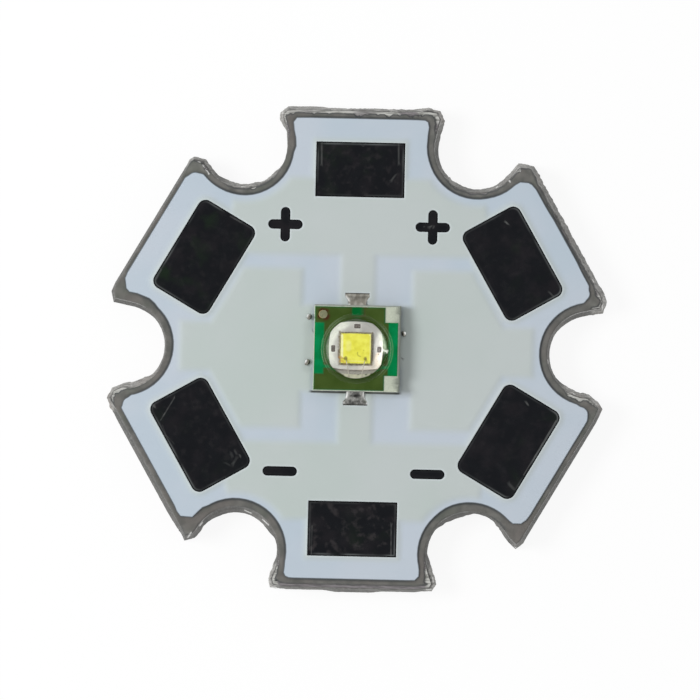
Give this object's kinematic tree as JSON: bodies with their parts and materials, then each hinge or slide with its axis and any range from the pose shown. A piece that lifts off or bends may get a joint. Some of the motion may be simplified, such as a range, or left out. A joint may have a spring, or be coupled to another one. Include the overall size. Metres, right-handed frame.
{
  "type": "high power led on a star board",
  "caption": "Square ceramic power LED with a clear dome, soldered to a star-shaped aluminium-core board with screw notches, wire pads and polarity signs.",
  "frame": {"origin": "centre of the board's flat back face", "axes": "+Z out of the front, the way the light leaves; +Y towards the positive wire pads; +X to the right seen from the front"},
  "size_m": [0.0204, 0.02, 0.0036],
  "materials": {
    "aluminium": "punched edge, satin",
    "dielectric": "satin",
    "copper": "satin",
    "white_mask": "semi-gloss",
    "tin": "dark mirror with fine scratches",
    "solder": "bright",
    "gold": "satin",
    "bronze": "satin",
    "ceramic": "matt",
    "green_lacquer": "gloss",
    "silver": "satin",
    "dark_spot": "matt",
    "chip": "satin",
    "phosphor": "matt",
    "silicone": "clear"
  },
  "bodies": {
    "root": {"aluminium_base": "aluminium", "dielectric_layer": "dielectric", "positive_copper": "copper", "negative_copper": "copper", "thermal_copper": "copper", "anode_via_left": "copper", "anode_via_right": "copper", "cathode_via_left": "copper", "cathode_via_right": "copper", "solder_mask": "white_mask", "wire_pad_positive_top": "tin", "wire_pad_positive_left": "tin", "wire_pad_positive_right": "tin", "wire_pad_negative_bottom": "tin", "wire_pad_negative_left": "tin", "wire_pad_negative_right": "tin", "plus_mark_left": "tin", "plus_mark_right": "tin", "minus_mark_left": "tin", "minus_mark_right": "tin", "anode_solder": "solder", "cathode_solder": "solder", "thermal_solder": "solder", "solder_bead_upper_left": "solder", "solder_bead_lower_left": "solder", "solder_bead_right": "solder", "led_anode_pad": "gold", "led_cathode_pad": "gold", "led_thermal_pad": "gold", "led_anode_metal": "gold", "led_cathode_metal": "gold", "bond_wire_left": "gold", "bond_wire_right": "gold", "led_polarity_dot": "bronze", "led_ceramic": "ceramic", "led_green_mask": "green_lacquer", "led_die_pad": "silver", "led_bond_land": "silver", "die_pad_mark_top": "dark_spot", "die_pad_mark_left": "dark_spot", "die_pad_mark_right": "dark_spot", "led_die": "chip", "led_phosphor": "phosphor", "led_dome": "silicone"}
  },
  "joints": []
}
